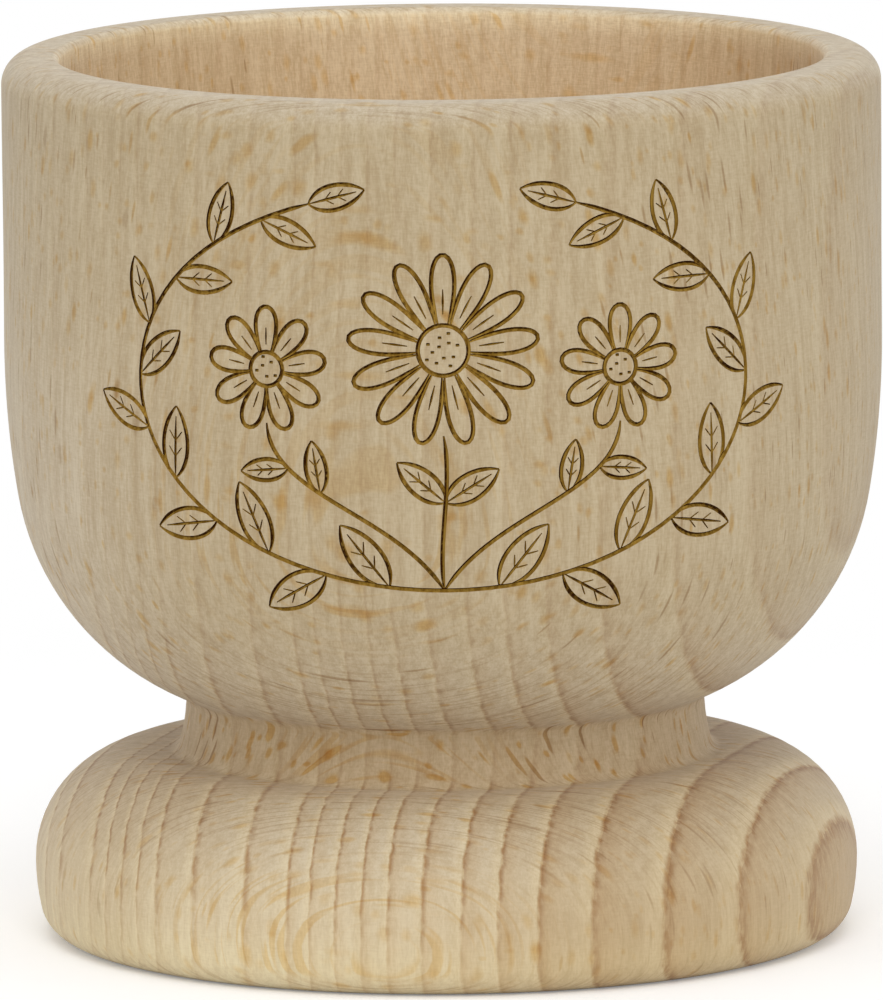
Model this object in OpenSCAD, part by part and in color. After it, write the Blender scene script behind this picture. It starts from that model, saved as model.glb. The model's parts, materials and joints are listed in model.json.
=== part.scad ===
// Wooden egg cup, turned in one piece: a deep bowl on a short neck and a beaded foot
// Units are millimetres, the table is at z = 0 and the turning axis is Z

/* [Bowl] */
// Outside diameter of the bowl at its straight wall
bowl_d = 48; // [46:0.5:56]
// Height of the cup from the table to the rim
cup_h = 48.5; // [46:0.5:54]
// Height at which the straight wall begins, above the curved side
wall_start_h = 33; // [30:0.5:40]
// Radius of the long curve that draws the side in below the wall
side_curve_r = 54; // [46:1:120]
// Radius of the tight curve under the bowl
underside_r = 14.3; // [12.5:0.1:16]
// Radius of the rounding round the outside of the rim
rim_round_r = 1.55; // [0.5:0.05:2]

/* [Egg recess] */
// Diameter of the recess that takes the egg
mouth_d = 41.7; // [38:0.1:43]
// Depth of the recess, from the rim to the middle of its round floor
recess_depth = 31; // [26:0.5:33]
// Radius of the eased edge inside the rim
lip_round_r = 0.5; // [0.2:0.1:1]

/* [Neck] */
// Diameter of the neck where it meets the bowl
neck_d = 28.4; // [24:0.2:31]
// Height of the crease between the neck and the bowl
neck_top_h = 13.25; // [12.25:0.05:15]
// How much the neck's shallow cove widens its radius down to the foot
neck_flare = 0.5; // [0.2:0.1:1.5]

/* [Foot] */
// Diameter of the foot at the widest point of its bead
foot_d = 45.1; // [42:0.5:50]
// Height of the bead's widest point
bead_mid_h = 4.1; // [3.5:0.05:5]
// Radius of the bead over its upper half
bead_r = 6.05; // [5:0.05:7]
// Radius of the flatter side under the bead's widest point
foot_side_r = 12; // [9:0.5:18]
// Radius of the edge that rolls under to the table
foot_edge_r = 1.95; // [0.8:0.05:2.6]

/* [Hidden] */
$fn = 240;

// Turn between two points along an arc of the outline, in degrees
arc_step = 3;
// How far a cut runs past the face that it opens
overrun = 1;
beech = [0.78, 0.68, 0.52];

function direction(angle) = [cos(angle), sin(angle)];

function heading(vector) = atan2(vector[1], vector[0]);

// Points along an arc without its first one, which is the point that the outline has reached
function arc(centre, radius, start_angle, end_angle) =
    let (steps = ceil(abs(end_angle - start_angle) / arc_step))
    let (turn = (end_angle - start_angle) / steps)
    [for (i = [1:steps]) centre + radius * direction(start_angle + i * turn)];

bowl_r = bowl_d / 2;
mouth_r = mouth_d / 2;
neck_r = neck_d / 2;
foot_r = foot_d / 2;

// The foot's lower edge touches both the table and the foot's side
foot_side_centre = [foot_r - foot_side_r, bead_mid_h];
edge_touch_angle = -asin((bead_mid_h - foot_edge_r) / (foot_side_r - foot_edge_r));
foot_edge_centre = foot_side_centre + (foot_side_r - foot_edge_r) * direction(edge_touch_angle);

// The foot's bead ends level at its top, where the neck's cove begins
bead_centre = [foot_r - bead_r, bead_mid_h];
neck_foot = [neck_r + neck_flare, bead_mid_h + bead_r];

// The cove is upright where it reaches the crease under the bowl
crease = [neck_r, neck_top_h];
cove_h = neck_top_h - neck_foot[1];
cove_r = (cove_h ^ 2 + neck_flare ^ 2) / (2 * neck_flare);
cove_centre = crease + [cove_r, 0];

// The long side curve is upright where it reaches the straight wall
side_centre = [bowl_r - side_curve_r, wall_start_h];
// The underside curve starts at the crease and touches the side curve from inside, so its
// centre is the third corner of a triangle with the side curve's centre and the crease
crease_distance = norm(crease - side_centre);
centre_distance = side_curve_r - underside_r;
corner_angle = acos(
    (centre_distance ^ 2 + crease_distance ^ 2 - underside_r ^ 2)
    / (2 * centre_distance * crease_distance)
);
side_touch_angle = heading(crease - side_centre) + corner_angle;
underside_centre = side_centre + centre_distance * direction(side_touch_angle);

// The rim is rounded outside and eased inside, with a narrow flat between
rim_centre = [bowl_r - rim_round_r, cup_h - rim_round_r];
lip_centre = [mouth_r + lip_round_r, cup_h - lip_round_r];

// The recess is a cylinder over a round floor of the same radius
recess_floor_h = cup_h - recess_depth;
recess_wall_start_h = recess_floor_h + mouth_r;

// Half section of the outside, from the middle of the underside up to the rim
outline = concat(
    [[0, 0], [foot_edge_centre[0], 0]],
    arc(foot_edge_centre, foot_edge_r, -90, edge_touch_angle),
    arc(foot_side_centre, foot_side_r, edge_touch_angle, 0),
    arc(bead_centre, bead_r, 0, 90),
    [neck_foot],
    arc(cove_centre, cove_r, heading(neck_foot - cove_centre), -180),
    arc(underside_centre, underside_r, heading(crease - underside_centre), side_touch_angle),
    arc(side_centre, side_curve_r, side_touch_angle, 0),
    [[bowl_r, rim_centre[1]]],
    arc(rim_centre, rim_round_r, 0, 90),
    [[0, cup_h]]
);

// Half section from the axis out to an upright wall, between two heights
module straight_side(radius, low_h, high_h) {
    translate([0, low_h])
        square([radius, high_h - low_h]);
}

// Half section of what the recess takes out: its round floor, its wall and the eased lip
module recess_section() {
    intersection() {
        translate([0, recess_wall_start_h])
            circle(r = mouth_r);
        straight_side(mouth_r, recess_floor_h, cup_h);
    }
    straight_side(mouth_r, recess_wall_start_h, cup_h + overrun);
    difference() {
        straight_side(lip_centre[0], lip_centre[1], cup_h + overrun);
        translate(lip_centre)
            circle(r = lip_round_r);
    }
}

module turned_cup() {
    color(beech)
        rotate_extrude()
            difference() {
                polygon(outline);
                recess_section();
            }
}

turned_cup();
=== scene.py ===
# %% [markdown]
# # A turned beech egg cup
# The real cup is one blank of beech, spun on a lathe and cut to its outline, then hollowed for the egg. A
# line drawing is burnt into the front. Nothing is painted or varnished, so the whole look comes from three
# things: a true outline, grain that runs through the wood as it does in a tree, and soft light. The packed
# model gives the frame, and every length below is in metres in that frame.

# %% Load the frame
import json
import math

import bmesh
import bpy
from mathutils import Matrix, Vector, geometry, noise

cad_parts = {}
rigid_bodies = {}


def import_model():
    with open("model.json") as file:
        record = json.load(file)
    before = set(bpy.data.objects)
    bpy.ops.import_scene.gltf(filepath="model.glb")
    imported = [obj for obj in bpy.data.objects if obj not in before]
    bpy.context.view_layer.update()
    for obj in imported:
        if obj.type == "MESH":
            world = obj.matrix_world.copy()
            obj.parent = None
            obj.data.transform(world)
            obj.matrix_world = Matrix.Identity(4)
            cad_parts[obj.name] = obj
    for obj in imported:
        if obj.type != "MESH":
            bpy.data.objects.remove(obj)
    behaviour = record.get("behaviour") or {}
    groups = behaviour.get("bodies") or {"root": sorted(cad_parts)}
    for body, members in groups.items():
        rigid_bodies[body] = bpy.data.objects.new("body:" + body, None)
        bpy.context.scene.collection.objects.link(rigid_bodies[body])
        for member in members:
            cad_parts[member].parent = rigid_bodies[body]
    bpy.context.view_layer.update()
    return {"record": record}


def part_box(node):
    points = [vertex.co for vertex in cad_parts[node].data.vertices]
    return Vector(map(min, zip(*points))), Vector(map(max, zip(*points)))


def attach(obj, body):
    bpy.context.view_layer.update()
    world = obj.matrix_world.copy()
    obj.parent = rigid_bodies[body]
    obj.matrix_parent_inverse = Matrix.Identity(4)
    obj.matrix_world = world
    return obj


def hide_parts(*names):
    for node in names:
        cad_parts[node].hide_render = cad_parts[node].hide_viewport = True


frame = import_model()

# %% [markdown]
# ## The camera
# The photographer stood well back with a long lens, so the cup looks almost flat-sided, and looked down by
# about eight degrees. A camera could be set by eye, but a few measured numbers are surer: how far away it
# is, how high, and how many pixels one radian fills. The camera is aimed a touch off the cup's middle, as
# the photo is framed, and rolled by a third of a degree, because the cup stands that much askew in the
# photo.

# %% Measures of the photo
MM = 0.001
IMAGE_LONG_PX = 1000
IMAGE_MIDDLE_PX = (441.5, 500.0)
CUP_MIDDLE_PX = (444.08, 491.48)
FOCAL_PX = 15797
SENSOR_MM = 36
CAMERA_DISTANCE = 865.3 * MM
CAMERA_ELEVATION = math.radians(8.477)
CAMERA_ROLL = math.radians(-0.378)
VIEW_DEPTH = 10

cup_low, cup_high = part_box("turned_cup")
cup_middle = (cup_low + cup_high) / 2
print("cup is", [round(side / MM, 2) for side in cup_high - cup_low], "mm in the frame")


# %% Place the camera
def add_object(name, data):
    """Adds an object to the scene."""
    added = bpy.data.objects.new(name, data)
    bpy.context.scene.collection.objects.link(added)
    return added


camera_data = bpy.data.cameras.new("photo_camera")
camera_data.sensor_width = SENSOR_MM
camera_data.lens = FOCAL_PX * SENSOR_MM / IMAGE_LONG_PX
camera_data.clip_end = VIEW_DEPTH
camera = add_object("photo_camera", camera_data)
bpy.context.scene.camera = camera

towards_camera = Vector((0, -math.cos(CAMERA_ELEVATION), math.sin(CAMERA_ELEVATION)))
picture_right = Vector((1, 0, 0))
picture_up = towards_camera.cross(picture_right)
px_size = CAMERA_DISTANCE / FOCAL_PX
aim_right = (IMAGE_MIDDLE_PX[0] - CUP_MIDDLE_PX[0]) * px_size
aim_up = (CUP_MIDDLE_PX[1] - IMAGE_MIDDLE_PX[1]) * px_size
aim = cup_middle + picture_right * aim_right + picture_up * aim_up

camera.location = cup_middle + towards_camera * CAMERA_DISTANCE
looking = (aim - camera.location).to_track_quat("-Z", "Y")
camera.rotation_mode = "QUATERNION"
camera.rotation_quaternion = looking @ Matrix.Rotation(CAMERA_ROLL, 4, "Z").to_quaternion()
print("one pixel covers", round(px_size / MM, 4), "mm at the cup")

# %% [markdown]
# ## The sizes of the turning
# A turner works from a half section: the line that the tool follows from the middle of the foot to the rim,
# and on down into the recess. Each stretch of it is an arc or a straight line. The overall sizes are read
# from the frame, and the rest are the radii that the turner's gauges would have. Arcs that run into each
# other without a corner share a tangent, so their centres are worked out and not typed.

# %% Named sizes
egg_mount = next(mount for mount in frame["record"]["mounts"] if mount["name"] == "egg_recess")

cup_h = cup_high.z
bowl_r = cup_high.x
mouth_r = egg_mount["dims"]["r_mm"] * MM
recess_depth = 31 * MM
lip_round_r = 0.5 * MM
rim_round_r = 1.55 * MM
wall_start_h = 33 * MM
side_curve_r = 54 * MM
underside_r = 14.3 * MM
neck_r = 14.2 * MM
neck_top_h = 13.25 * MM
neck_flare = 0.5 * MM
neck_ease_r = 0.65 * MM
foot_r = 22.55 * MM
bead_mid_h = 4.1 * MM
bead_r = 6.05 * MM
foot_side_r = 12 * MM
foot_edge_r = 1.95 * MM
print("bowl", round(2 * bowl_r / MM, 2), "mm across, recess", round(2 * mouth_r / MM, 2), "mm across")


# %% Places on the half section
def place(radius, height):
    """A point of the half section, which is drawn in the X-Z plane."""
    return Vector((radius, 0, height))


def direction(angle):
    """The way that an angle in degrees points, from level and outwards up towards the rim."""
    return place(math.cos(math.radians(angle)), math.sin(math.radians(angle)))


def heading(arrow):
    """The angle in degrees that an arrow of the half section points along."""
    return math.degrees(math.atan2(arrow.z, arrow.x))


foot_side_centre = place(foot_r - foot_side_r, bead_mid_h)
edge_touch = -math.degrees(math.asin((bead_mid_h - foot_edge_r) / (foot_side_r - foot_edge_r)))
foot_edge_centre = foot_side_centre + (foot_side_r - foot_edge_r) * direction(edge_touch)
bead_centre = place(foot_r - bead_r, bead_mid_h)
bead_top = bead_centre + place(0, bead_r)
neck_foot = place(neck_r + neck_flare, bead_top.z)
crease = place(neck_r, neck_top_h)
cove_r = ((neck_top_h - neck_foot.z) ** 2 + neck_flare ** 2) / (2 * neck_flare)
cove_centre = crease + place(cove_r, 0)


# %% Centres of the arcs that run on from others
def at_reaches(first, first_reach, second, second_reach):
    """The place at set distances from two others, on the left of the way from the first to the second."""
    way = second - first
    cosine = (first_reach ** 2 + way.length ** 2 - second_reach ** 2) / (2 * first_reach * way.length)
    return first + first_reach * direction(heading(way) + math.degrees(math.acos(cosine)))


side_centre = place(bowl_r - side_curve_r, wall_start_h)
underside_centre = at_reaches(side_centre, side_curve_r - underside_r, crease, underside_r)
side_touch = heading(underside_centre - side_centre)
side_touch_h = (side_centre + side_curve_r * direction(side_touch)).z
crease_ease_centre = at_reaches(
    cove_centre, cove_r - neck_ease_r, underside_centre, underside_r + neck_ease_r
)
ease_drop = neck_top_h - bead_top.z - neck_ease_r
shoulder_ease_centre = cove_centre - place(math.sqrt((cove_r - neck_ease_r) ** 2 - ease_drop ** 2), ease_drop)
rim_centre = place(bowl_r - rim_round_r, cup_h - rim_round_r)
lip_centre = place(mouth_r + lip_round_r, cup_h - lip_round_r)
recess_centre = place(0, cup_h - recess_depth + mouth_r)
print("the side curve ends", round(side_touch_h / MM, 2), "mm above the table")

# %% [markdown]
# ## Turning the cup
# The cup could start from a cylinder with loops pushed in and out, but a turned piece is quicker and truer
# as its turner made it: draw half the section, then spin it about the axis. The section starts as one
# vertex at the middle of the foot. Straight runs extrude that vertex, and arcs spin it about the arc's own
# centre, which is how a compass would draw them. A small arc eases each end of the neck, because sandpaper
# rounds a corner that it is pressed into, and a sharp one would draw a hard dark line round the cup.

# %% Two ways to draw the section
SECTION_STEP = 0.75 * MM
TURN_STEP = 6

section = bmesh.new()


def run_to(tip, target):
    """Draws a straight run from the tip of the section and returns its new tip."""
    start = tip.co.copy()
    steps = max(1, math.ceil((target - start).length / SECTION_STEP))
    for step in range(1, steps + 1):
        tip = bmesh.ops.extrude_vert_indiv(section, verts=[tip])["verts"][0]
        tip.co = start.lerp(target, step / steps)
    return tip


def swing_to(tip, centre, end_angle):
    """Swings the tip about a centre until it lies at an angle from it, and returns its new tip."""
    arm = tip.co - centre
    turn = (end_angle - heading(arm) + 180) % 360 - 180
    length = math.radians(abs(turn)) * arm.length
    steps = math.ceil(max(length / SECTION_STEP, abs(turn) / TURN_STEP))
    swung = bmesh.ops.spin(
        section, geom=[tip], cent=centre, axis=(0, -1, 0), angle=math.radians(turn), steps=steps,
    )
    return next(made for made in swung["geom_last"] if isinstance(made, bmesh.types.BMVert))


# %% Draw the outside, from the foot to the rim
tip = section.verts.new((0, 0, 0))
tip = run_to(tip, place(foot_edge_centre.x, 0))
tip = swing_to(tip, foot_edge_centre, edge_touch)
tip = swing_to(tip, foot_side_centre, 0)
tip = swing_to(tip, bead_centre, 90)
tip = run_to(tip, place(shoulder_ease_centre.x, bead_top.z))
tip = swing_to(tip, shoulder_ease_centre, heading(shoulder_ease_centre - cove_centre))
tip = swing_to(tip, cove_centre, heading(crease_ease_centre - cove_centre))
tip = swing_to(tip, crease_ease_centre, heading(underside_centre - crease_ease_centre))
print("outside drawn as far as the bowl with", len(section.verts), "points")

# %% Go on over the bowl and down into the recess
tip = swing_to(tip, underside_centre, side_touch)
tip = swing_to(tip, side_centre, 0)
tip = run_to(tip, place(bowl_r, rim_centre.z))
tip = swing_to(tip, rim_centre, 90)
tip = run_to(tip, place(lip_centre.x, cup_h))
tip = swing_to(tip, lip_centre, 180)
tip = run_to(tip, place(mouth_r, recess_centre.z))
tip = swing_to(tip, recess_centre, -90)
print("section drawn with", len(section.verts), "points")

# %% [markdown]
# ## From section to solid
# One full spin makes the skin. A full spin meets itself, so use_merge closes the seam, and the two points
# on the axis, which the spin copies once per step, are merged into single poles. Spinning can turn a skin
# inside out, so its normals are worked out afresh. Last, a hand sands the cup: a turned outline is never
# quite true, and a few hundredths of a millimetre of slow unevenness keep its edges from looking drawn by a
# rule.

# %% Spin the section
AROUND = 256
WELD = 0.002 * MM

bmesh.ops.spin(
    section, geom=section.verts[:] + section.edges[:], cent=(0, 0, 0), axis=(0, 0, 1),
    angle=math.tau, steps=AROUND, use_merge=True,
)
bmesh.ops.remove_doubles(section, verts=section.verts, dist=WELD)
bmesh.ops.recalc_face_normals(section, faces=section.faces)
print("spun to", len(section.faces), "faces")

# %% Sand it by hand
SANDING = 0.035 * MM
SANDING_WAVE = 11 * MM


def sanded(point):
    """Where a point of the true turning ends up after hand sanding."""
    outward = Vector((point.x, point.y, 0))
    if outward.length < WELD:
        return point
    unevenness = noise.noise(point / SANDING_WAVE)
    return point + outward.normalized() * SANDING * unevenness


def mesh_of(shape, name):
    """The finished mesh of a shape, whose working copy is freed."""
    made = bpy.data.meshes.new(name)
    shape.to_mesh(made)
    shape.free()
    return made


for vert in section.verts:
    vert.co = sanded(vert.co)
cup_mesh = mesh_of(section, "egg_cup")
cup = add_object("egg_cup", cup_mesh)
print("sanded", len(cup_mesh.vertices), "points by up to", round(SANDING / MM, 3), "mm")

# %% [markdown]
# ## The burnt drawing: where a line lies
# The real drawing is burnt by a laser: a groove about a quarter of a millimetre wide and rather less deep,
# brown inside, crisp at its edges. A dark line in the material would look printed, so each line here is a
# real groove. The drawing is planned flat, as distances across and up in millimetres, and wrapped on the
# bowl: across becomes an angle round the axis, and up a height on the section. This cup carries a garland
# of leaves with three daisies.

# %% Wrap the drawing on the bowl
def wall_curve_centre(height):
    """The centre of the arc that the bowl's outside follows at a height."""
    if height >= wall_start_h:
        return place(0, height)
    if height >= side_touch_h:
        return side_centre
    return underside_centre


def wall_point(height):
    """The point of the bowl's outside at a height, on the half section."""
    centre = wall_curve_centre(height)
    if height >= wall_start_h:
        return place(bowl_r, height)
    arm = side_curve_r if height >= side_touch_h else underside_r
    rise = height - centre.z
    return centre + place(math.sqrt(arm ** 2 - rise ** 2), rise)


def on_bowl(spot, depth):
    """A spot of the flat drawing, wrapped on the front of the bowl and sunk by a depth, and its normal."""
    around = Matrix.Rotation(spot.x * MM / bowl_r - math.pi / 2, 3, "Z")
    point = wall_point(spot.y * MM)
    outward = around @ (point - wall_curve_centre(spot.y * MM)).normalized()
    return sanded(around @ point) - outward * depth, outward


print("drawing's middle lies at", tuple(round(value / MM, 2) for value in on_bowl(Vector((0, 32, 0)), 0)[0]))

# %% [markdown]
# ## Cutting one line
# The cutter for a line is a thin closed tube that follows it just under the surface. It grows from one
# small ring of edges, which is extruded again and again and moved each time to the next place on the line.
# The ring can shrink on the way, so the tube tapers where the burn starts and ends. Last, its two open ends
# are filled. A line that comes back to its start keeps its full width, and there the two ends are welded
# instead.

# %% Grow a cutter along a line
CUTTER_SIDES = 8
LINE_STEP = 0.25
SINK = 0.03 * MM
TAPER_LENGTH = 0.9
TAPER_SHARE = 0.45


def evenly_spaced(line):
    """The same line with its points about one step apart."""
    lengths = [0.0]
    for before, after in zip(line, line[1:]):
        lengths.append(lengths[-1] + (after - before).length)
    steps = max(2, math.ceil(lengths[-1] / LINE_STEP))
    spots = []
    segment = 0
    for step in range(steps + 1):
        reach = lengths[-1] * step / steps
        while segment < len(line) - 2 and lengths[segment + 1] < reach:
            segment += 1
        span = lengths[segment + 1] - lengths[segment]
        spots.append(line[segment].lerp(line[segment + 1], (reach - lengths[segment]) / span))
    return spots


def cutter_places(line, line_w):
    """Where each ring of a line's cutter lies, as a matrix that also holds its radius."""
    spots = evenly_spaced(line)
    sunk = [on_bowl(spot, SINK) for spot in spots]
    last = len(sunk) - 1
    closed = (line[0] - line[-1]).length < LINE_STEP / 2
    places = []
    for index, (point, normal) in enumerate(sunk):
        before = sunk[last - 1 if closed and index == 0 else max(index - 1, 0)][0]
        after = sunk[1 if closed and index == last else min(index + 1, last)][0]
        along = (after - before).normalized()
        aside = normal.cross(along).normalized()
        upright = along.cross(aside)
        from_end = min((spots[index] - spots[0]).length, (spots[index] - spots[-1]).length)
        taper = 1 if closed else TAPER_SHARE + (1 - TAPER_SHARE) * min(1, from_end / TAPER_LENGTH)
        radius = line_w * MM / 2 * taper
        turn = Matrix((aside * radius, upright * radius, along * radius)).transposed()
        places.append(Matrix.Translation(point) @ turn.to_4x4())
    return places


def grow_cutter(line, line_w):
    """A closed tube along one line of the drawing."""
    places = cutter_places(line, line_w)
    tube = bmesh.new()
    bmesh.ops.create_circle(tube, segments=CUTTER_SIDES, radius=1, matrix=places[0])
    ring = tube.edges[:]
    for before, after in zip(places, places[1:]):
        grown = bmesh.ops.extrude_edge_only(tube, edges=ring)["geom"]
        ring = [made for made in grown if isinstance(made, bmesh.types.BMEdge)]
        ring_verts = [made for made in grown if isinstance(made, bmesh.types.BMVert)]
        bmesh.ops.transform(tube, matrix=after @ before.inverted(), verts=ring_verts)
    bmesh.ops.remove_doubles(tube, verts=tube.verts, dist=WELD)
    bmesh.ops.holes_fill(tube, edges=tube.edges)
    bmesh.ops.recalc_face_normals(tube, faces=tube.faces)
    return tube


# %% [markdown]
# ## Planning the garland
# Every motif is a few Bezier curves. A leaf is two bowed edges, a rib and pairs of veins. A daisy is a ring
# of petals, each one curve that leaves the middle, rounds the tip and comes back, with dots for the
# florets. The garland's stem is most of an ellipse, open at the top, so each leaf is set on it by its angle
# there.

# %% Lines and leaves
LINE_W = 0.27
FINE_W = 0.18
CURVE_POINTS = 41

drawing = []


def spot_at(across, up):
    """A spot of the flat drawing, in millimetres."""
    return Vector((across, up, 0))


def towards(angle, reach):
    """An arrow on the flat drawing, by its angle in degrees and its length."""
    return spot_at(math.cos(math.radians(angle)), math.sin(math.radians(angle))) * reach


def draw(start, start_pull, end_pull, end, line_w=LINE_W):
    """Adds one Bezier curve to the drawing and returns its points."""
    curve = geometry.interpolate_bezier(start, start_pull, end_pull, end, CURVE_POINTS)
    drawing.append((curve, line_w))
    return curve


def draw_fine(start, end, start_share=0.3, end_share=0.7):
    """Adds a fine straight line to the drawing."""
    draw(start, start.lerp(end, start_share), start.lerp(end, end_share), end, FINE_W)


def draw_leaf(root, angle, length, width):
    """Adds a pointed leaf with a rib and its veins."""
    end = root + towards(angle, length)
    for side in (-1, 1):
        bow = towards(angle + side * 90, width)
        low_pull = root + towards(angle, length * 0.22) + bow * 0.72
        high_pull = root + towards(angle, length * 0.72) + bow * 0.62
        draw(root, low_pull, high_pull, end)
    draw_fine(root, root + towards(angle, length * 0.86))
    for share in (0.3, 0.52):
        for side in (-1, 1):
            vein = root + towards(angle, length * share)
            draw_fine(vein, vein + towards(angle + side * 38, width * 0.42), 0.4, 0.8)


# %% Daisies
GOLDEN_ANGLE = 137.5
DOT_W = 0.36
DOT_LENGTH = 0.2


def draw_ring(middle, radius):
    """Adds a round line to the drawing."""
    drawing.append(([middle + towards(angle, radius) for angle in range(0, 361, 10)], LINE_W))


def draw_dot(middle):
    """Adds a dot, which is a line about as long as it is wide."""
    half = towards(0, DOT_LENGTH / 2)
    drawing.append(([middle - half, middle, middle + half], DOT_W))


def draw_daisy(middle, radius, petals, florets, turned):
    """Adds an open daisy: petals, a ring and a spiral of dots."""
    eye_r = radius * 0.27
    half_step = 180 / petals
    pull = (radius - 0.25 * eye_r) / 0.75
    for petal in range(petals):
        angle = turned + petal * 2 * half_step
        draw(
            middle + towards(angle - half_step * 0.8, eye_r),
            middle + towards(angle - half_step * 1.05, pull),
            middle + towards(angle + half_step * 1.05, pull),
            middle + towards(angle + half_step * 0.8, eye_r),
        )
        draw_fine(middle + towards(angle, eye_r * 1.35), middle + towards(angle, radius * 0.62))
    draw_ring(middle, eye_r * 0.95)
    for floret in range(1, florets + 1):
        draw_dot(middle + towards(floret * GOLDEN_ANGLE, eye_r * 0.7 * math.sqrt(floret / florets)))


# %% Lay out the garland
GARLAND_MIDDLE = spot_at(0, 33.2)
GARLAND_HALF_W = 17.8
GARLAND_HALF_H = 10.9
GARLAND_START = -94
GARLAND_END = 66
GARLAND_STEP = 4
LEAF_ANGLES = (-80, -68, -56, -43, -29, -14, 1, 16, 31, 44, 56)
LEAF_LENGTH = 4.3
LEAF_W = 1.8


def on_garland(angle, side):
    """A spot on one side of the garland's stem, by its angle on the ellipse, and the stem's heading there."""
    turn = math.radians(angle)
    spot = spot_at(side * GARLAND_HALF_W * math.cos(turn), GARLAND_HALF_H * math.sin(turn))
    onward = math.atan2(GARLAND_HALF_H * math.cos(turn), -side * GARLAND_HALF_W * math.sin(turn))
    return GARLAND_MIDDLE + spot, math.degrees(onward)


for side in (1, -1):
    angles = range(GARLAND_START, GARLAND_END + 1, GARLAND_STEP)
    drawing.append(([on_garland(angle, side)[0] for angle in angles], LINE_W))
    for number, angle in enumerate(LEAF_ANGLES):
        root, onward = on_garland(angle, side)
        lean = -42 if number % 2 else 46
        draw_leaf(root, onward + side * lean, LEAF_LENGTH - 0.09 * number, LEAF_W - 0.05 * number)
    draw_leaf(*on_garland(GARLAND_END, side), 3.2, 1.3)
print("garland drawn with", len(drawing), "lines")

# %% Set the daisies in the garland
STEM_FOOT = spot_at(0, 22.3)


def draw_leaf_on(stem, number, lean, length, width):
    """Adds a leaf at a point of a stem that was drawn downwards, leaning to one side of the way it grows."""
    grows = stem[number - 1] - stem[number + 1]
    draw_leaf(stem[number], math.degrees(math.atan2(grows.y, grows.x)) + lean, length, width)


draw_daisy(spot_at(0, 35.4), 5.3, 13, 12, 90)
stem = draw(spot_at(0, 30.8), spot_at(0.5, 28), spot_at(-0.4, 25), STEM_FOOT)
for side in (1, -1):
    draw_leaf_on(stem, 17, -side * 54, 3.4, 1.4)
    draw_daisy(spot_at(side * 9.7, 34.2), 3.6, 9, 6, 90)
    side_stem = draw(
        spot_at(side * 9.7, 31.3), spot_at(side * 9.6, 27.4), spot_at(side * 2.8, 26.8), STEM_FOOT
    )
    draw_leaf_on(side_stem, 10, -side * 50, 2.8, 1.15)
    draw_leaf_on(side_stem, 17, side * 50, 2.9, 1.15)
print(len(drawing), "lines in the drawing")

# %% [markdown]
# ## Burning the lines in
# All the cutters go into one collection, and a single Boolean takes them from the cup. The Manifold solver
# is quick and keeps the skin closed even where lines cross, and material_mode carries the cutters' burnt
# material on to the groove walls. Where several lines meet, a crumb of wood can be left in mid-air between
# their tubes, so whatever isn't joined to the middle of the foot is cleared away. The result replaces the
# cup's mesh, so nothing depends on the cutters afterwards.

# %% Take the lines out of the cup
beech_finish = bpy.data.materials.new("bare_beech")
burnt_finish = bpy.data.materials.new("burnt_beech")
cup_mesh.materials.append(beech_finish)

cutters = bpy.data.collections.new("line_cutters")
bpy.context.scene.collection.children.link(cutters)
for line, line_w in drawing:
    tube_mesh = mesh_of(grow_cutter(line, line_w), "line_cutter")
    tube_mesh.materials.append(burnt_finish)
    cutters.objects.link(bpy.data.objects.new("line_cutter", tube_mesh))

carving = cup.modifiers.new("burnt_lines", "BOOLEAN")
carving.operation = "DIFFERENCE"
carving.operand_type = "COLLECTION"
carving.collection = cutters
carving.solver = "MANIFOLD"
carving.material_mode = "TRANSFER"
carved_cup = cup.evaluated_get(bpy.context.evaluated_depsgraph_get())
carved_mesh = bpy.data.meshes.new_from_object(carved_cup)


# %% Blow the crumbs out of the grooves
def joined_to(first):
    """Every vertex that a walk along edges reaches from one vertex."""
    reached = {first}
    waiting = [first]
    while waiting:
        for edge in waiting.pop().link_edges:
            for vert in edge.verts:
                if vert not in reached:
                    reached.add(vert)
                    waiting.append(vert)
    return reached


carved = bmesh.new()
carved.from_mesh(carved_mesh)
whole = joined_to(min(carved.verts, key=lambda vert: vert.co.length))
crumbs = [vert for vert in carved.verts if vert not in whole]
bmesh.ops.delete(carved, geom=crumbs, context="VERTS")
carved.to_mesh(carved_mesh)
carved.free()
print(len(crumbs), "points of loose crumbs cleared away")

# %% Keep the carved skin and clear the cutters away
SHARP_ANGLE = math.radians(38)

cup.modifiers.clear()
cup.data = carved_mesh
bpy.data.meshes.remove(cup_mesh)
for tube_object in list(cutters.objects):
    bpy.data.meshes.remove(tube_object.data)
bpy.data.collections.remove(cutters)

carved_mesh.name = "egg_cup"
carved_mesh.shade_smooth()
carved_mesh.set_sharp_from_angle(angle=SHARP_ANGLE)
triangles = sum(len(face.vertices) - 2 for face in carved_mesh.polygons)
burnt_faces = sum(1 for face in carved_mesh.polygons if face.material_index == 1)
print("cup has", triangles, "triangles,", burnt_faces, "burnt faces")

# %% [markdown]
# ## Helpers for materials
# Shader trees are easier to read when a node and what feeds it stand on one line. The first helper adds a
# node, and takes each input as a plain value or as another node's output. The others are short forms of it
# for sums, vectors, noises and blends of colours. Colours are written as they read on a screen, from 0 to
# 255, and turned into the linear values that the renderer works in.

# %% Node helpers
def add_node(tree, kind, sources=None, **settings):
    """Adds a shader node, sets it and feeds its inputs with values or with other nodes' outputs."""
    made = tree.nodes.new(kind)
    for name, value in settings.items():
        setattr(made, name, value)
    for socket, source in (sources or {}).items():
        if isinstance(source, bpy.types.NodeSocket):
            tree.links.new(source, made.inputs[socket])
        else:
            made.inputs[socket].default_value = source
    return made


def sum_of(tree, operation, first, second=0.0, clamp=False):
    """The result of a Math node."""
    maths = add_node(tree, "ShaderNodeMath", {0: first, 1: second}, operation=operation, use_clamp=clamp)
    return maths.outputs[0]


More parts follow.
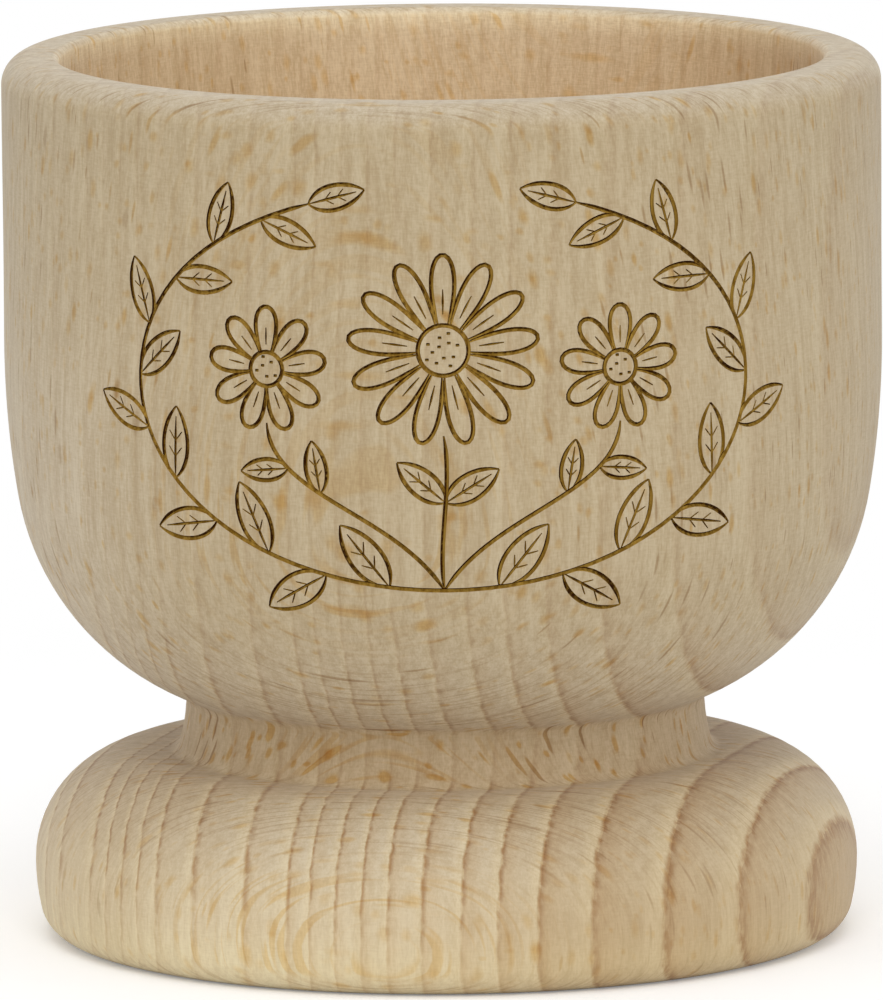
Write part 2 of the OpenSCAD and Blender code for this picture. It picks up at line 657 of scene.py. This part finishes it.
def plus(tree, first, second):
    """The sum of two values."""
    return sum_of(tree, "ADD", first, second)


def times(tree, first, second, clamp=False):
    """The product of two values."""
    return sum_of(tree, "MULTIPLY", first, second, clamp)


def soft_step(tree, value, low, high, low_result=0.0, high_result=1.0):
    """A smooth change from one result to another as a value goes from low to high."""
    step = add_node(
        tree, "ShaderNodeMapRange", {0: value, 1: low, 2: high, 3: low_result, 4: high_result},
        interpolation_type="SMOOTHSTEP",
    )
    return step.outputs[0]


# %% Helpers for vectors, noises and colours
def vector_of(tree, operation, first, second=(0, 0, 0)):
    """The vector result of a Vector Math node."""
    return add_node(tree, "ShaderNodeVectorMath", {0: first, 1: second}, operation=operation).outputs[0]


def value_of(tree, operation, first, second=(0, 0, 0)):
    """The plain number that a Vector Math node gives, such as a length or a dot product."""
    return add_node(tree, "ShaderNodeVectorMath", {0: first, 1: second}, operation=operation).outputs["Value"]


def part_of(tree, vector, axis):
    """One of a vector's three numbers, by its axis."""
    return add_node(tree, "ShaderNodeSeparateXYZ", {0: vector}).outputs[axis]


def stretched_noise(tree, vector, cells, detail):
    """A noise with its own number of cells per unit along each of the three ways of a vector."""
    stretched = vector_of(tree, "MULTIPLY", vector, cells)
    noise_node = add_node(tree, "ShaderNodeTexNoise", {"Vector": stretched, "Scale": 1.0, "Detail": detail})
    return noise_node.outputs[0]


def blend(tree, share, first, second, how="MIX"):
    """The colour that a Mix node makes of two colours."""
    mix = add_node(tree, "ShaderNodeMix", {0: share, 6: first, 7: second}, data_type="RGBA", blend_type=how)
    return mix.outputs[2]


def screen_colour(red, green, blue):
    """A colour read on a screen, as the linear colour that a shader takes."""
    def linear(value):
        share = value / 255
        return share / 12.92 if share <= 0.04045 else ((share + 0.055) / 1.055) ** 2.4
    return (linear(red), linear(green), linear(blue), 1)


# %% Helpers for node groups
def new_group(name, inputs, outputs, output_kind="NodeSocketFloat"):
    """A shader node group, what its inputs bring and what its outputs take.

    The inputs are given by name with their defaults, and the outputs by name.
    """
    group = bpy.data.node_groups.new(name, "ShaderNodeTree")
    for socket_name, value in inputs.items():
        kind = "NodeSocketVector" if isinstance(value, tuple) else "NodeSocketFloat"
        socket = group.interface.new_socket(name=socket_name, in_out="INPUT", socket_type=kind)
        socket.default_value = value
    for socket_name in outputs:
        group.interface.new_socket(name=socket_name, in_out="OUTPUT", socket_type=output_kind)
    return group, group.nodes.new("NodeGroupInput").outputs, group.nodes.new("NodeGroupOutput").inputs


def finish_group(group, group_out, results):
    """Links what a group works out to its outputs."""
    for name, result in results.items():
        group.links.new(result, group_out[name])
    print("group", group.name, "has", len(group.nodes), "nodes")


def place_group(tree, group, sources):
    """Places a node group in a tree, feeds its inputs and returns its outputs."""
    return add_node(tree, "ShaderNodeGroup", sources, node_tree=group).outputs


# %% [markdown]
# ## Where a point lies in the tree
# Wood grain isn't a picture on the surface: it runs through the blank, and the lathe cuts it open. So the
# first group turns a point of the cup into its place in the tree, in millimetres: how far across the growth
# rings, how far round the tree, and how far along the trunk. The tree's middle is put about 200 mm to the
# right of the cup and a little in front of it, and the blank sits on the lathe with its grain leaning by
# eight degrees. Bands on the bowl, the neck and the foot then line up by themselves, as they do on the real
# cup. The way round is measured as an angle about the tree's middle, because the rays that come later all
# point at it.

# %% Group: tree directions
TREE_MIDDLE = Vector((194, -53, 0))
GRAIN_LEAN = math.radians(8)
IN_MM = (1 / MM, 1 / MM, 1 / MM)
tree_reach = TREE_MIDDLE.length
outward_way = tuple(-TREE_MIDDLE.normalized())
round_way = tuple(Vector((TREE_MIDDLE.y, -TREE_MIDDLE.x, 0)).normalized())

tree_directions, group_in, group_out = new_group(
    "tree_directions", {"Position": (0, 0, 0), "Waviness": 0.7}, ["Directions"], "NodeSocketVector"
)
tree = tree_directions
in_mm = vector_of(tree, "MULTIPLY", group_in["Position"], IN_MM)
leaned = add_node(tree, "ShaderNodeMapping", {"Vector": in_mm, "Rotation": (-GRAIN_LEAN, 0, 0)}).outputs[0]
wave_noise = add_node(tree, "ShaderNodeTexNoise", {"Vector": leaned, "Scale": 0.06, "Detail": 1.0})
wave = vector_of(tree, "SUBTRACT", wave_noise.outputs["Color"], (0.5, 0.5, 0.5))
waved = vector_of(tree, "ADD", leaned, vector_of(tree, "MULTIPLY", wave, group_in["Waviness"]))
from_middle = vector_of(tree, "SUBTRACT", waved, tuple(TREE_MIDDLE))
reach = value_of(tree, "LENGTH", vector_of(tree, "MULTIPLY", from_middle, (1, 1, 0)))
across_rings = sum_of(tree, "SUBTRACT", tree_reach, reach)
sideways = value_of(tree, "DOT_PRODUCT", from_middle, round_way)
outwards = value_of(tree, "DOT_PRODUCT", from_middle, outward_way)
round_tree = times(tree, sum_of(tree, "ARCTAN2", sideways, outwards), tree_reach)
along_trunk = part_of(tree, waved, "Z")
joined = add_node(tree, "ShaderNodeCombineXYZ", {0: across_rings, 1: round_tree, 2: along_trunk})
finish_group(tree_directions, group_out, {"Directions": joined.outputs[0]})

# %% [markdown]
# ## Growth rings
# Each year leaves a pale band that ends in a thin dark line, so every ring is sharp on its outer side and
# fades inwards. The years aren't equal: the rings here are about one millimetre wide on the left of the cup
# and four on the right. A formula would give them one even rhythm, so the places where the lines cross the
# front of the foot are listed instead, and a Float Curve counts the rings between them.

# %% Where the ring lines lie
RING_LINES_ON_FOOT = (
    -21.3, -19.5, -18.7, -17.8, -16.9, -15.9, -13.8, -11, -8.7, -7.6, -6.2, -4.8, -3.4, -1.5,
    0.7, 2.7, 4.9, 7.8, 11.7, 15.8, 19.6,
)
OUTER_RING_W = 1.3
OUTER_RINGS = 5
INNER_RING_W = 4.3
RING_SPAN = 31.0


def across_rings_at(across):
    """How far across the rings a place on the front of the foot lies, by its distance from the middle."""
    front = -math.sqrt((foot_r / MM) ** 2 - across ** 2)
    return tree_reach - (Vector((across, front, 0)) - TREE_MIDDLE).length


ring_places = [across_rings_at(across) for across in RING_LINES_ON_FOOT]
ring_places = [ring_places[0] - OUTER_RING_W * step for step in range(OUTER_RINGS, 0, -1)] + ring_places
ring_places += [ring_places[-1] + INNER_RING_W, ring_places[-1] + 2 * INNER_RING_W]
ring_count = len(ring_places) - 1
print("ring lines from", round(ring_places[0], 1), "to", round(ring_places[-1], 1), "mm across the rings")

# %% Group: growth rings
growth_rings, group_in, group_out = new_group(
    "growth_rings", {"Directions": (0, 0, 0), "Unevenness": 0.3}, ["Shade", "Line", "Early"]
)
tree = growth_rings
ways = group_in["Directions"]
ring_noise = stretched_noise(tree, ways, (1.5, 1.5, 0.75), 4.0)
ring_shift = times(tree, sum_of(tree, "SUBTRACT", ring_noise, 0.5), group_in["Unevenness"])
shifted = plus(tree, part_of(tree, ways, "X"), ring_shift)
curve_share = add_node(
    tree, "ShaderNodeMapRange", {0: shifted, 1: -RING_SPAN, 2: RING_SPAN, 3: 0.0, 4: 1.0}
).outputs[0]
ring_curve = add_node(tree, "ShaderNodeFloatCurve", {"Value": curve_share})
curve_places = [(ring_place + RING_SPAN) / (2 * RING_SPAN) for ring_place in ring_places]
points = ring_curve.mapping.curves[0].points
points[0].location = (curve_places[0], 0)
points[1].location = (curve_places[-1], 1)
for number, curve_place in enumerate(curve_places[1:-1], start=1):
    points.new(curve_place, number / ring_count)
for point in points:
    point.handle_type = "VECTOR"
ring_curve.mapping.update()
print("the curve counts", ring_count, "rings")

# %% Shade each ring
through_ring = sum_of(tree, "FRACT", times(tree, ring_curve.outputs[0], float(ring_count)))
outer_edge = soft_step(tree, through_ring, 0.92, 1.0)
fade = sum_of(tree, "MAXIMUM", soft_step(tree, through_ring, 0.0, 0.6, 1.0, 0.0), outer_edge)
dark = sum_of(tree, "MAXIMUM", soft_step(tree, through_ring, 0.0, 0.15, 1.0, 0.0), outer_edge)
broken = soft_step(tree, stretched_noise(tree, ways, (2, 2.4, 1.1), 3.0), 0.34, 0.6, 0.15, 1.0)
early = soft_step(tree, through_ring, 0.6, 0.93)
finish_group(growth_rings, group_out, {"Shade": fade, "Line": times(tree, dark, broken), "Early": early})

# %% [markdown]
# ## Rays
# Beech is known by its rays: thin upright ribbons that run from the bark towards the middle of the tree.
# Where the lathe cuts across them, at the cup's sides, they are short dark dashes. Where it cuts along them,
# in the middle of the front, they open into broad tan flecks, and where the bowl curves away the flecks close
# up into ovals. One solid texture gives all of that: Voronoi cells squeezed thin round the tree and drawn out
# across the rings, with a small ball round each cell's point. The surface then decides what shows.

# %% Group: rays
wood_rays, group_in, group_out = new_group(
    "wood_rays",
    {"Directions": (0, 0, 0), "Spacing": (9, 0.5, 3), "Size": 0.3, "Raggedness": 0.1, "Core": 0.5},
    ["Mask"],
)
tree = wood_rays
ways = group_in["Directions"]
cells = vector_of(tree, "DIVIDE", ways, group_in["Spacing"])
ragged_noise = stretched_noise(tree, ways, (1.2, 5, 2.2), 2.0)
ragged = times(tree, sum_of(tree, "SUBTRACT", ragged_noise, 0.5), group_in["Raggedness"])
voronoi = add_node(tree, "ShaderNodeTexVoronoi", {"Vector": cells, "Scale": 1.0}, feature="F1")
distance = plus(tree, voronoi.outputs["Distance"], ragged)
tone = part_of(tree, voronoi.outputs["Color"], "X")
own_size = times(tree, group_in["Size"], soft_step(tree, tone, 0.0, 1.0, 0.55, 1.15))
core_size = times(tree, own_size, group_in["Core"])
ray_mask = soft_step(tree, distance, core_size, own_size, 1.0, 0.0)
finish_group(wood_rays, group_out, {"Mask": ray_mask})

# %% [markdown]
# ## Fibres and sanding marks
# Between rings and rays the wood is fine upright fibre with pores too small to see one by one. It shows as
# faint streaks, a tenth of a millimetre wide and a few long, and it is what the fingers feel. Across them run
# the marks of the sandpaper, which was held against the spinning cup, so they go level round it and not with
# the tree. Together they give bare turned wood its woven look. Each is one noise, stretched along its own
# way. One more noise is squeezed thin round the tree: these are the sheets that fine rays lie in. They show
# as pale tan ovals where the lathe just skims them, and as fine lines where it cuts them across.

# %% Group: fibres
FIBRE_CELLS = {
    "Bands": ((1.7, 1.7, 0.05), 2.0),
    "Streaks": ((4, 4, 0.35), 3.0),
    "Pores": ((11, 11, 2), 2.0),
    "Sheets": ((0.14, 8.5, 0.2), 1.0),
}

wood_fibres, group_in, group_out = new_group("wood_fibres", {"Directions": (0, 0, 0)}, FIBRE_CELLS)
ways = group_in["Directions"]
finish_group(wood_fibres, group_out, {
    name: stretched_noise(wood_fibres, ways, cells, detail) for name, (cells, detail) in FIBRE_CELLS.items()
})

# %% Group: sanding marks
sanding_marks, group_in, group_out = new_group("sanding_marks", {"Position": (0, 0, 0)}, ["Marks"])
in_mm = vector_of(sanding_marks, "MULTIPLY", group_in["Position"], IN_MM)
finish_group(sanding_marks, group_out, {"Marks": stretched_noise(sanding_marks, in_mm, (2, 2, 10), 2.0)})

# %% [markdown]
# ## Bare beech
# The material lays the groups over each other in the order in which the eye finds them: the base colour, the
# rings, the rays and the fibres. The base colour isn't the same all over, and much of the change is painted
# light and shade. It is greyest on the bowl and a little paler underneath. The recess is most golden, with
# painted bounce light, and brightest just under the lip, with painted sky light. The foot is palest, partly
# its own tone and partly painted bounce light from the table, and palest of all low down, which is painted
# bounce light only. The foot and the recess are darker at the sides than in the middle, and darker still
# towards the
# right, where the middle of the tree lies: painted shade. The neck is a little browner, which is painted
# shade under the bowl, and the bowl is paler low on its left, the outer side of the tree, which is painted
# light from the left. So soft masks choose the base colour first: the inside is where a face looks towards
# the middle of the mouth. The finish is bare, so it is rough, with only a dusty sheen at the edges, and the
# fibres and the sanding stand in a very shallow bump.

# %% The colours of the wood
WALL_WOOD = screen_colour(189, 170, 136)
UNDERSIDE_WOOD = screen_colour(195, 178, 149)
# Painted light: the bowl's lower left is paler, as light from the left falls there.
LEFT_LIGHT_WOOD = screen_colour(199, 182, 153)
# Painted light: the recess is brighter and more golden than the wood, as bounce light fills it.
INNER_BOUNCE_LIT_WOOD = screen_colour(227, 205, 169)
# Painted shade: the recess's sides are darker than its middle.
INNER_SIDE_SHADE = screen_colour(237, 233, 226)
# Painted light: the top of the recess just under the lip is brightest, as it sees the most sky.
LIP_SKY_LIT_WOOD = screen_colour(246, 229, 193)
# Partly the foot's own paler tone and partly painted bounce light from the table.
FOOT_WOOD_AND_BOUNCE = screen_colour(225, 209, 175)
# Painted light: the foot is palest low down, where the table's bounce light falls.
FOOT_EDGE_BOUNCE_LIT = screen_colour(236, 222, 184)
# Painted shade: the foot is darker at its sides, where it turns away from the front light.
FOOT_SIDE_SHADE = screen_colour(241, 236, 228)
# Painted shade: the foot and the recess are darker towards the right.
RIGHT_SIDE_SHADE = screen_colour(231, 223, 214)
# Painted shade: the neck is browner, as it lies in shade under the bowl.
NECK_SHADE_TINT = screen_colour(252, 244, 232)


def which_way(tree, coordinates, arrow):
    """How squarely a face looks along an arrow, either way: 0 side on and 1 square."""
    return sum_of(tree, "ABSOLUTE", value_of(tree, "DOT_PRODUCT", coordinates["Normal"], arrow))


def on_neck(tree, height):
    """How much a height belongs to the neck."""
    above_foot = soft_step(tree, height, bead_top.z - 0.5 * MM, bead_top.z + 0.5 * MM)
    below_bowl = soft_step(tree, height, neck_top_h - 0.3 * MM, neck_top_h + 0.5 * MM, 1.0, 0.0)
    return times(tree, above_foot, below_bowl)


# %% Choose the base colour
def inner_wood_with_painted_light(tree, coordinates, height):
    """The recess colour with painted light and shade in it, and how much a point belongs to it."""
    to_mouth = vector_of(tree, "SUBTRACT", (0, 0, cup_h), coordinates["Object"])
    faces_mouth = value_of(tree, "DOT_PRODUCT", to_mouth, coordinates["Normal"])
    above_floor = soft_step(tree, height, neck_top_h, cup_h - recess_depth)
    inside = times(tree, above_floor, soft_step(tree, faces_mouth, 0.2 * mouth_r, 0.7 * mouth_r))
    # Painted sky light near the lip.
    lip_sky_light_share = soft_step(tree, height, cup_h - 1.7 * MM, cup_h - 0.3 * MM)
    # Painted shade at the recess's sides.
    inner_side_shade_share = soft_step(tree, which_way(tree, coordinates, outward_way), 0.3, 0.9)
    # Painted bounce light fills the recess.
    colour = blend(tree, lip_sky_light_share, INNER_BOUNCE_LIT_WOOD, LIP_SKY_LIT_WOOD)
    return blend(tree, inner_side_shade_share, colour, INNER_SIDE_SHADE, "MULTIPLY"), inside


def base_wood(tree, coordinates, directions, height):
    """The base colour before any grain is laid on it: the wood's tone with painted light and shade."""
    across = part_of(tree, directions, "X")
    up_bowl = soft_step(tree, height, neck_top_h + 1.5 * MM, side_touch_h - 3 * MM)
    low_down = soft_step(tree, height, side_touch_h, cup_h - 4 * rim_round_r, 1.0, 0.0)
    # Painted light on the bowl's lower left.
    left_light_share = times(tree, soft_step(tree, across, -20, -8, 1.0, 0.0), low_down)
    on_foot = soft_step(tree, height, 0.7 * bead_mid_h, 0.9 * bead_top.z, 1.0, 0.0)
    # Painted bounce light low on the foot.
    foot_wood_and_bounce = blend(tree, soft_step(tree, height, 0.2 * bead_mid_h, bead_mid_h), FOOT_EDGE_BOUNCE_LIT, FOOT_WOOD_AND_BOUNCE)
    from_axis = vector_of(tree, "MULTIPLY", coordinates["Object"], (1, 1, 0))
    out_aside = value_of(tree, "DOT_PRODUCT", vector_of(tree, "NORMALIZE", from_axis), outward_way)
    below_neck = soft_step(tree, height, bead_top.z - 0.3 * MM, bead_top.z + 0.3 * MM, 1.0, 0.0)
    # Painted shade at the foot's sides.
    foot_side_shade_share = times(tree, soft_step(tree, sum_of(tree, "ABSOLUTE", out_aside), 0.2, 0.7), below_neck)
    recess_painted_colour, inside = inner_wood_with_painted_light(tree, coordinates, height)
    # Painted shade towards the right, on the foot and in the recess.
    right_side_shade_share = times(tree, soft_step(tree, across, -20, 20), plus(tree, inside, on_foot))
    colour = blend(tree, up_bowl, UNDERSIDE_WOOD, WALL_WOOD)
    for share, wood, how in (
        (left_light_share, LEFT_LIGHT_WOOD, "MIX"),
        (on_foot, foot_wood_and_bounce, "MIX"),
        (foot_side_shade_share, FOOT_SIDE_SHADE, "MULTIPLY"),
        (inside, recess_painted_colour, "MIX"),
        # Painted shade on the neck.
        (on_neck(tree, height), NECK_SHADE_TINT, "MULTIPLY"),
        (right_side_shade_share, RIGHT_SIDE_SHADE, "MULTIPLY"),
    ):
        colour = blend(tree, share, colour, wood, how)
    return colour


# %% Lay the rings on the wood
RING_TINT = screen_colour(238, 225, 210)
RING_LINE_TINT = screen_colour(196, 158, 106)
EARLY_TINT = screen_colour(226, 208, 166)


def lay_rings(tree, coordinates, directions, height, colour):
    """Lays the growth rings on a colour: plain on the foot and on end grain, and faint on the wall.

    Low on the foot the narrow rings lose their lines.
    """
    rings = place_group(tree, growth_rings, {"Directions": directions, "Unevenness": 0.34})
    across = part_of(tree, directions, "X")
    end_grain = which_way(tree, coordinates, (0, -math.sin(GRAIN_LEAN), math.cos(GRAIN_LEAN)))
    plain_level = soft_step(tree, part_of(tree, directions, "Z"), 9, 24, 0.55, 0.12)
    ring_level = plus(tree, plain_level, times(tree, end_grain, 0.3))
    ring_level = sum_of(tree, "SUBTRACT", ring_level, times(tree, on_neck(tree, height), 0.35), clamp=True)
    wide_rings = soft_step(tree, across, -12, 10, 0.35, 1.0)
    low_foot = soft_step(tree, height, 0.2 * bead_mid_h, 1.5 * bead_mid_h, 0.7, 0.0)
    low_and_narrow = times(tree, low_foot, soft_step(tree, across, 6, 16, 1.0, 0.0))
    for output, tint, how, strength in (
        ("Shade", RING_TINT, "MULTIPLY", wide_rings),
        ("Early", EARLY_TINT, "MIX", 0.4),
        ("Line", RING_LINE_TINT, "MULTIPLY", sum_of(tree, "SUBTRACT", 1.0, low_and_narrow)),
    ):
        share = times(tree, rings[output], times(tree, ring_level, strength))
        colour = blend(tree, share, colour, tint, how)
    return colour


# %% Lay the rays on the wood
FLECK_TINT = screen_colour(243, 221, 172)
DASH_TINT = screen_colour(206, 187, 160)


def lay_rays(tree, coordinates, directions, height, fibres, colour):
    """Lays the rays on a colour: tan flecks and sheets, and thin dashes, grey-brown when cut across.

    They are plainest on the neck and faintest on the foot. On end grain the sheets are fine level lines, and
    on the outer side of the tree some dashes are broad.
    """
    cut_flat = which_way(tree, coordinates, round_way)
    turning_tint = blend(tree, soft_step(tree, cut_flat, 0.7, 0.94), DASH_TINT, FLECK_TINT)
    below_wall = soft_step(tree, height, side_touch_h, wall_start_h, 0.6, 0.2)
    skimmed = times(tree, soft_step(tree, cut_flat, 0.86, 0.97, 0.2, 1.0), below_wall)
    cut_across = soft_step(tree, which_way(tree, coordinates, (0, 0, 1)), 0.35, 0.8, 0.0, 0.38)
    sheet_level = sum_of(tree, "MAXIMUM", skimmed, cut_across)
    sheets = times(tree, soft_step(tree, fibres["Sheets"], 0.54, 0.64), sheet_level)
    colour = blend(tree, sheets, colour, turning_tint, "MULTIPLY")
    above_foot = soft_step(tree, height, 0.8 * bead_top.z, bead_top.z, 0.65, 1.0)
    plainness = plus(tree, above_foot, times(tree, on_neck(tree, height), 1.5))
    outer_side = soft_step(tree, part_of(tree, directions, "X"), -16, -8, 0.6, 0.0)
    for spacing, size, raggedness, core, strength, tint in (
        ((1.6, 0.6, 2.1), 0.33, 0.2, 0.2, 0.6, FLECK_TINT),
        ((3.2, 0.9, 3.4), 0.23, 0.1, 0.3, 0.9, FLECK_TINT),
        ((6, 0.6, 1.3), 0.28, 0.2, 0.2, 0.6, FLECK_TINT),
        ((9, 0.36, 4.4), 0.24, 0.08, 0.4, 0.75, turning_tint),
        ((6, 1, 5), 0.17, 0.1, 0.4, outer_side, DASH_TINT),
    ):
        rays = place_group(tree, wood_rays, {
            "Directions": directions, "Spacing": spacing, "Size": size, "Raggedness": raggedness,
            "Core": core,
        })
        share = times(tree, times(tree, rays["Mask"], strength), plainness, clamp=True)
        colour = blend(tree, share, colour, tint, "MULTIPLY")
    return colour


# %% Lay the fibres on the wood
GRAIN_DARK = (0.86, 0.815, 0.75, 1)
GRAIN_LIGHT = (1.12, 1.155, 1.22, 1)


def lay_fibres(tree, height, fibres, sanding, colour):
    """Lays fibres and sanding on a colour: darker and warmer or paler and cooler, least on the foot."""
    grain = times(tree, fibres["Bands"], 0.8)
    for source, weight in (
        (fibres["Streaks"], 0.7), (fibres["Pores"], 0.8), (sanding["Marks"], 0.5),
    ):
        grain = plus(tree, grain, times(tree, source, weight))
    tint = blend(tree, soft_step(tree, grain, 0.98, 1.82), GRAIN_DARK, GRAIN_LIGHT)
    share = soft_step(tree, height, bead_mid_h, neck_top_h, 0.6, 1.0)
    return blend(tree, share, colour, tint, "MULTIPLY")


# %% Start and finish a material
def empty_tree(owner):
    """The emptied node tree of a material or a world."""
    owner.use_nodes = True
    owner.node_tree.nodes.clear()
    return owner.node_tree


def start_material(material):
    """A wood material's tree with its coordinates, the directions in the beech and the fibres."""
    tree = empty_tree(material)
    coordinates = add_node(tree, "ShaderNodeTexCoord").outputs
    placed = place_group(tree, tree_directions, {"Position": coordinates["Object"]})
    directions = placed["Directions"]
    return tree, coordinates, directions, place_group(tree, wood_fibres, {"Directions": directions})


def finish_material(material, sources, relief, strength, depth):
    """Gives a material a bump and one Principled shader."""
    tree = material.node_tree
    bump = add_node(tree, "ShaderNodeBump", {"Height": relief, "Strength": strength, "Distance": depth})
    shader = add_node(tree, "ShaderNodeBsdfPrincipled", {**sources, "Normal": bump.outputs[0]})
    add_node(tree, "ShaderNodeOutputMaterial", {"Surface": shader.outputs[0]})
    print("material", material.name, "has", len(tree.nodes), "nodes")


# %% Material: bare beech
RIM_COLOUR = screen_colour(188, 175, 153)
SHEEN_COLOUR = (0.9, 0.96, 1, 1)

tree, coordinates, directions, fibres = start_material(beech_finish)
sanding = place_group(tree, sanding_marks, {"Position": coordinates["Object"]})
height = part_of(tree, coordinates["Object"], "Z")
colour = base_wood(tree, coordinates, directions, height)
colour = lay_rings(tree, coordinates, directions, height, colour)
near_rim = soft_step(tree, height, cup_h - 3 * rim_round_r, cup_h - rim_round_r)
turned_up = soft_step(tree, part_of(tree, coordinates["Normal"], "Z"), 0.05, 0.8, 0.0, 0.6)
colour = blend(tree, times(tree, near_rim, turned_up), colour, RIM_COLOUR)
colour = lay_rays(tree, coordinates, directions, height, fibres, colour)
colour = lay_fibres(tree, height, fibres, sanding, colour)
relief = plus(tree, fibres["Streaks"], fibres["Pores"])
relief = plus(tree, relief, sanding["Marks"])
finish_material(beech_finish, {
    "Base Color": colour,
    "Roughness": soft_step(tree, fibres["Pores"], 0.3, 0.7, 0.6, 0.72),
    "Specular IOR Level": 0.35,
    "Sheen Weight": 0.15,
    "Sheen Tint": SHEEN_COLOUR,
}, relief, 0.4, 0.04 * MM)

# %% [markdown]
# ## Burnt beech
# Inside a line the laser has toasted the wood golden brown, and the upper left wall of each groove is made
# almost black, in small beats: partly the laser's char and partly painted shade, the shadow that the groove's
# edge casts on that wall. So this dark is laid by how much a groove's wall faces down and to the right.
# The right is taken partly round the cup and partly straight across: with either alone, one end of the
# drawing would be darker than the other. A noise breaks the dark up, and the fibres of the bare wood show
# through the toasted floor, so the same group is placed here too.

# %% Material: burnt beech
TOASTED = screen_colour(172, 136, 58)
DARK_TOASTED = screen_colour(134, 99, 30)
# Partly the laser's char and partly painted shade on the groove's upper left wall.
CHAR_AND_SHADE = screen_colour(56, 28, 2)
PULSE_CELLS = (4 / MM, 4 / MM, 4 / MM)

tree, coordinates, directions, fibres = start_material(burnt_finish)
pulses = stretched_noise(tree, coordinates["Object"], PULSE_CELLS, 2.0)
round_cup = vector_of(tree, "CROSS_PRODUCT", (0, 0, 1), coordinates["Object"])
lower_right = vector_of(tree, "ADD", vector_of(tree, "NORMALIZE", round_cup), (0.7, 0, -1.7))
faces_lower_right = value_of(
    tree, "DOT_PRODUCT", coordinates["Normal"], vector_of(tree, "NORMALIZE", lower_right)
)
# Painted shade: the groove's upper left wall, which faces down and right, is darkened along with its char.
char_and_shade_share = soft_step(tree, plus(tree, faces_lower_right, pulses), 0.4, 0.92)
toasted = blend(tree, soft_step(tree, fibres["Streaks"], 0.35, 0.65), TOASTED, DARK_TOASTED)
finish_material(burnt_finish, {
    "Base Color": blend(tree, char_and_shade_share, toasted, CHAR_AND_SHADE),
    "Roughness": soft_step(tree, pulses, 0.3, 0.7, 0.75, 0.95),
    "Specular IOR Level": 0.08,
}, pulses, 0.5, 0.05 * MM)

# %% [markdown]
# ## The table and the light
# The photo is a plain product shot: a white table, soft light from the front, from above and a little from
# the right, and white all round. The white behind the cup comes from the world's colour as the camera sees
# it, and not from more light on the wood, which would bleach it. The table is a real pale disc, so it bounces
# light on to the foot and keeps a soft shadow under it, and far from the cup it fades to plain white for the
# camera.

# %% The table
TABLE_R = 0.6
TABLE_SIDES = 96
TABLE_LEVEL = 0.88
FAR_TABLE_LEVEL = 0.4
TABLE_LIFT = 0.2

table_disc = bmesh.new()
bmesh.ops.create_circle(table_disc, cap_ends=True, segments=TABLE_SIDES, radius=TABLE_R)
table = add_object("table", mesh_of(table_disc, "table"))

table_finish = bpy.data.materials.new("white_table")
table.data.materials.append(table_finish)
tree = empty_tree(table_finish)
from_cup = value_of(tree, "LENGTH", add_node(tree, "ShaderNodeTexCoord").outputs["Object"])
seen = add_node(tree, "ShaderNodeLightPath").outputs["Is Camera Ray"]
table_level = soft_step(tree, from_cup, 0.05, 0.25, TABLE_LEVEL, FAR_TABLE_LEVEL)
diffuse = add_node(tree, "ShaderNodeBsdfDiffuse", {"Color": table_level})
lift = add_node(tree, "ShaderNodeEmission", {"Strength": times(tree, seen, TABLE_LIFT)})
lifted = add_node(tree, "ShaderNodeAddShader", {0: diffuse.outputs[0], 1: lift.outputs[0]})
plain_white = add_node(tree, "ShaderNodeEmission", {"Strength": 1.0})
far_share = times(tree, seen, soft_step(tree, from_cup, 0.03, 0.12))
table_look = add_node(
    tree, "ShaderNodeMixShader", {0: far_share, 1: lifted.outputs[0], 2: plain_white.outputs[0]}
)
add_node(tree, "ShaderNodeOutputMaterial", {"Surface": table_look.outputs[0]})
print("table is", 2 * TABLE_R, "m across")


# %% The lamps and the world
def add_lamp(name, spot, size, power):
    """Adds a square soft lamp that faces the cup."""
    lamp_data = bpy.data.lights.new(name, "AREA")
    lamp_data.shape = "SQUARE"
    lamp_data.size = size
    lamp_data.energy = power
    lamp = add_object(name, lamp_data)
    lamp.location = spot
    lamp.rotation_euler = (cup_middle - lamp.location).to_track_quat("-Z", "Y").to_euler()


add_lamp("front_light", (0, -0.52, 0.52), 0.35, 1.3)
add_lamp("overhead_light", (0, 0, 0.7), 0.5, 0.5)
add_lamp("right_light", (0.65, -0.15, 0.2), 0.3, 0.2)

ROOM_LEVEL = 0.79
world = bpy.data.worlds.new("white_room")
bpy.context.scene.world = world
tree = empty_tree(world)
ray = add_node(tree, "ShaderNodeLightPath").outputs
glossy_or_through = sum_of(tree, "MAXIMUM", ray["Is Glossy Ray"], ray["Is Transmission Ray"])
seen = sum_of(tree, "MAXIMUM", ray["Is Camera Ray"], glossy_or_through)
strength = add_node(tree, "ShaderNodeMapRange", {0: seen, 1: 0.0, 2: 1.0, 3: ROOM_LEVEL, 4: 1.0}).outputs[0]
background = add_node(tree, "ShaderNodeBackground", {"Color": (1, 1, 1, 1), "Strength": strength})
add_node(tree, "ShaderNodeOutputWorld", {"Surface": background.outputs[0]})

bpy.context.scene.view_settings.view_transform = "Standard"
print(len(bpy.data.lights), "lamps")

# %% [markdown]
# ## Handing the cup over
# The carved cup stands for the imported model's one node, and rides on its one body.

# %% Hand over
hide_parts("turned_cup")
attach(cup, "root")
